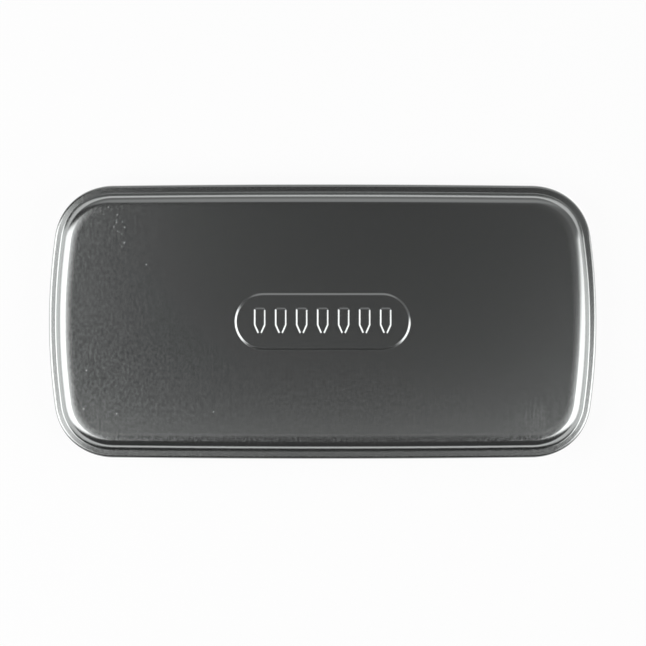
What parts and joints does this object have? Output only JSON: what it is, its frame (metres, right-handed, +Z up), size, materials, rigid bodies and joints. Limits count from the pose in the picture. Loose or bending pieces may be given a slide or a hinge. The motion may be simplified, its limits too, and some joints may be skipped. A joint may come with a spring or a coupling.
{
  "type": "colored pencil tin",
  "caption": "Flat pressed-metal pencil tin with rounded corners, a slip lid that lifts straight off, a formed tray and hexagonal colored pencils.",
  "frame": {"origin": "middle of the underside, at the height of the band that the tin stands on", "axes": "+X along the tin and towards the pencils' points, +Y across it, +Z up"},
  "size_m": [0.215, 0.1078, 0.016],
  "materials": {
    "tinplate_lid": "satin, fine grain across the tin",
    "tinplate_base": "satin, fine grain across the tin",
    "tray": "thin formed sheet, soft sheen",
    "lacquer_yellow": "gloss lacquer on the barrel, bare wood on the cone",
    "lacquer_orange": "gloss lacquer on the barrel, bare wood on the cone",
    "lacquer_red": "gloss lacquer on the barrel, bare wood on the cone",
    "lacquer_magenta": "gloss lacquer on the barrel, bare wood on the cone",
    "lacquer_violet": "gloss lacquer on the barrel, bare wood on the cone",
    "lacquer_dark_blue": "gloss lacquer on the barrel, bare wood on the cone",
    "lacquer_light_blue": "gloss lacquer on the barrel, bare wood on the cone",
    "lacquer_dark_green": "gloss lacquer on the barrel, bare wood on the cone",
    "lacquer_light_green": "gloss lacquer on the barrel, bare wood on the cone",
    "lacquer_brown": "gloss lacquer on the barrel, bare wood on the cone",
    "lacquer_black": "gloss lacquer on the barrel, bare wood on the cone",
    "lacquer_white": "gloss lacquer on the barrel, bare wood on the cone",
    "core_yellow": "waxy pigment core",
    "core_orange": "waxy pigment core",
    "core_red": "waxy pigment core",
    "core_magenta": "waxy pigment core",
    "core_violet": "waxy pigment core",
    "core_dark_blue": "waxy pigment core",
    "core_light_blue": "waxy pigment core",
    "core_dark_green": "waxy pigment core",
    "core_light_green": "waxy pigment core",
    "core_brown": "waxy pigment core",
    "core_black": "waxy pigment core",
    "core_white": "waxy pigment core"
  },
  "bodies": {
    "base": {"base": "tinplate_base", "insert_tray": "tray", "pencil_casing_01": "lacquer_yellow", "pencil_casing_02": "lacquer_orange", "pencil_casing_03": "lacquer_red", "pencil_casing_04": "lacquer_magenta", "pencil_casing_05": "lacquer_violet", "pencil_casing_06": "lacquer_dark_blue", "pencil_casing_07": "lacquer_light_blue", "pencil_casing_08": "lacquer_dark_green", "pencil_casing_09": "lacquer_light_green", "pencil_casing_10": "lacquer_brown", "pencil_casing_11": "lacquer_black", "pencil_casing_12": "lacquer_white", "pencil_core_01": "core_yellow", "pencil_core_02": "core_orange", "pencil_core_03": "core_red", "pencil_core_04": "core_magenta", "pencil_core_05": "core_violet", "pencil_core_06": "core_dark_blue", "pencil_core_07": "core_light_blue", "pencil_core_08": "core_dark_green", "pencil_core_09": "core_light_green", "pencil_core_10": "core_brown", "pencil_core_11": "core_black", "pencil_core_12": "core_white"},
    "lid": {"lid": "tinplate_lid"}
  },
  "joints": [
    {"name": "lid_lift", "type": "slide", "parent": "base", "child": "lid", "axis": [0, 0, 1], "range_m": [0, 0.06]}
  ]
}
